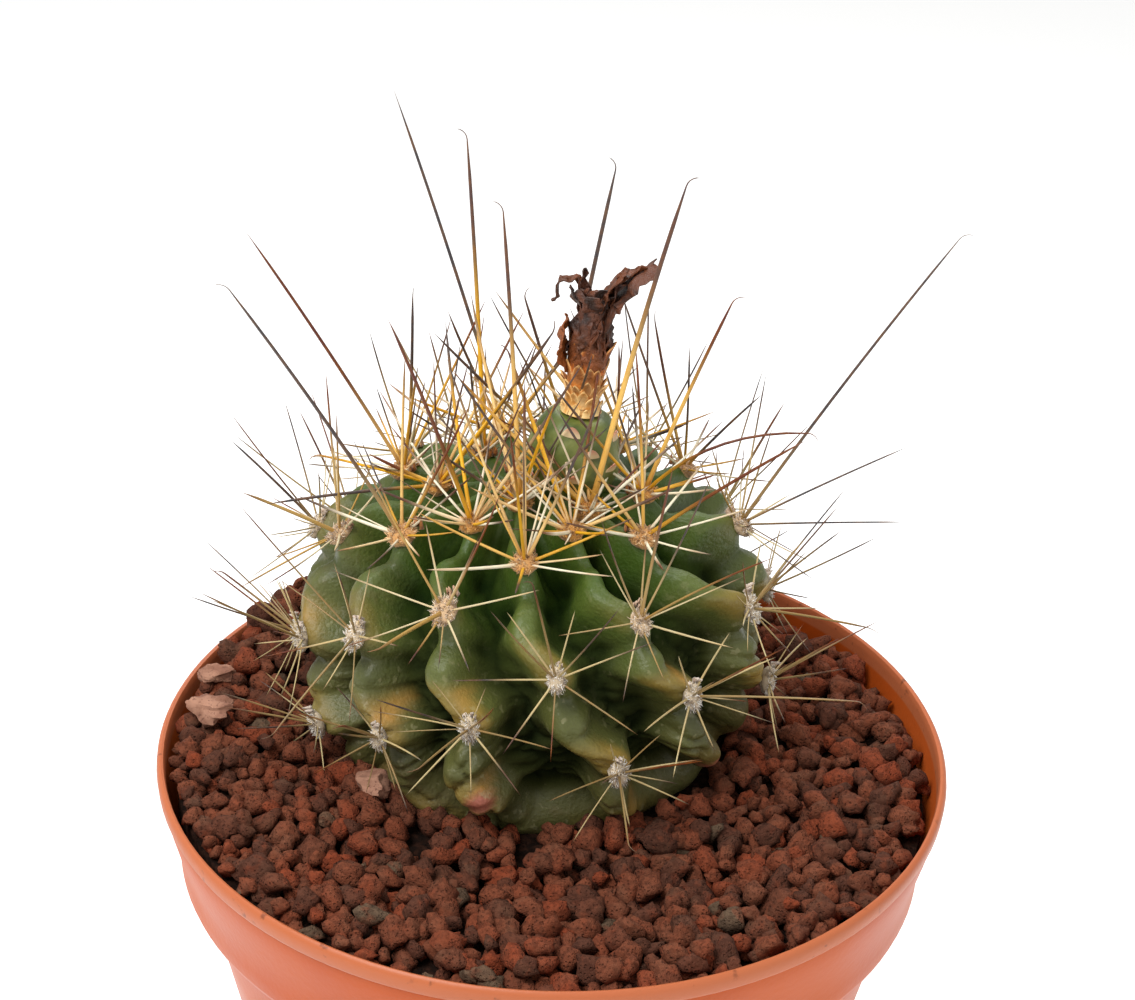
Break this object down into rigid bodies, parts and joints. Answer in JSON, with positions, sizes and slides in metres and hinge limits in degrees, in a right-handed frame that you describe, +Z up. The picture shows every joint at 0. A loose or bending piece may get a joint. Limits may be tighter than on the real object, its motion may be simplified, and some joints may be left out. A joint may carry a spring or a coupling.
{
  "type": "potted texas barrel cactus",
  "caption": "Ribbed globe-shaped cactus with hooked spines and one fruit under its dried flower, growing in gravel in a round tapering pot.",
  "frame": {"origin": "centre of the pot's flat underside", "axes": "+Z up, -Y towards the front of the picture, +X to the right of the picture"},
  "size_m": [0.14, 0.1481, 0.2143],
  "materials": {
    "pot": "smooth satin plastic in terracotta orange",
    "soil": "dark crumbly potting mix",
    "gravel": "rough red-brown lava grit",
    "pebbles": "dull pale pinkish stone",
    "stem": "waxy green skin, darker in the grooves and corky on the old ribs",
    "spines_crown": "hard golden to red-brown spines on tan wool",
    "spines_side": "hard straw-coloured spines with darker tips on tan wool",
    "spines_base": "hard pale grey spines on grey wool",
    "fruit": "smooth green skin with small pale scales",
    "dried_flower": "dry papery brown petals on a scaly tan tube"
  },
  "bodies": {
    "root": {"areole_0_0": "spines_crown", "areole_0_1": "spines_side", "areole_0_2": "spines_base", "areole_0_3": "spines_base", "areole_10_0": "spines_crown", "areole_10_1": "spines_side", "areole_10_2": "spines_base", "areole_10_3": "spines_base", "areole_11_0": "spines_crown", "areole_11_1": "spines_side", "areole_11_2": "spines_base", "areole_12_0": "spines_crown", "areole_12_1": "spines_side", "areole_12_2": "spines_base", "areole_1_0": "spines_crown", "areole_1_1": "spines_side", "areole_1_2": "spines_base", "areole_2_0": "spines_crown", "areole_2_1": "spines_side", "areole_2_2": "spines_base", "areole_2_3": "spines_base", "areole_3_0": "spines_crown", "areole_3_1": "spines_side", "areole_3_2": "spines_base", "areole_4_1": "spines_side", "areole_4_2": "spines_base", "areole_4_3": "spines_base", "areole_5_0": "spines_crown", "areole_5_1": "spines_side", "areole_5_2": "spines_base", "areole_6_0": "spines_crown", "areole_6_1": "spines_side", "areole_6_2": "spines_base", "areole_6_3": "spines_base", "areole_7_0": "spines_crown", "areole_7_1": "spines_side", "areole_7_2": "spines_base", "areole_8_0": "spines_crown", "areole_8_1": "spines_side", "areole_8_2": "spines_base", "areole_9_0": "spines_crown", "areole_9_1": "spines_side", "areole_9_2": "spines_base", "dried_flower": "dried_flower", "fruit": "fruit", "gravel": "gravel", "pebble_1": "pebbles", "pebble_2": "pebbles", "pebble_3": "pebbles", "pot": "pot", "soil": "soil", "stem": "stem"}
  },
  "joints": []
}
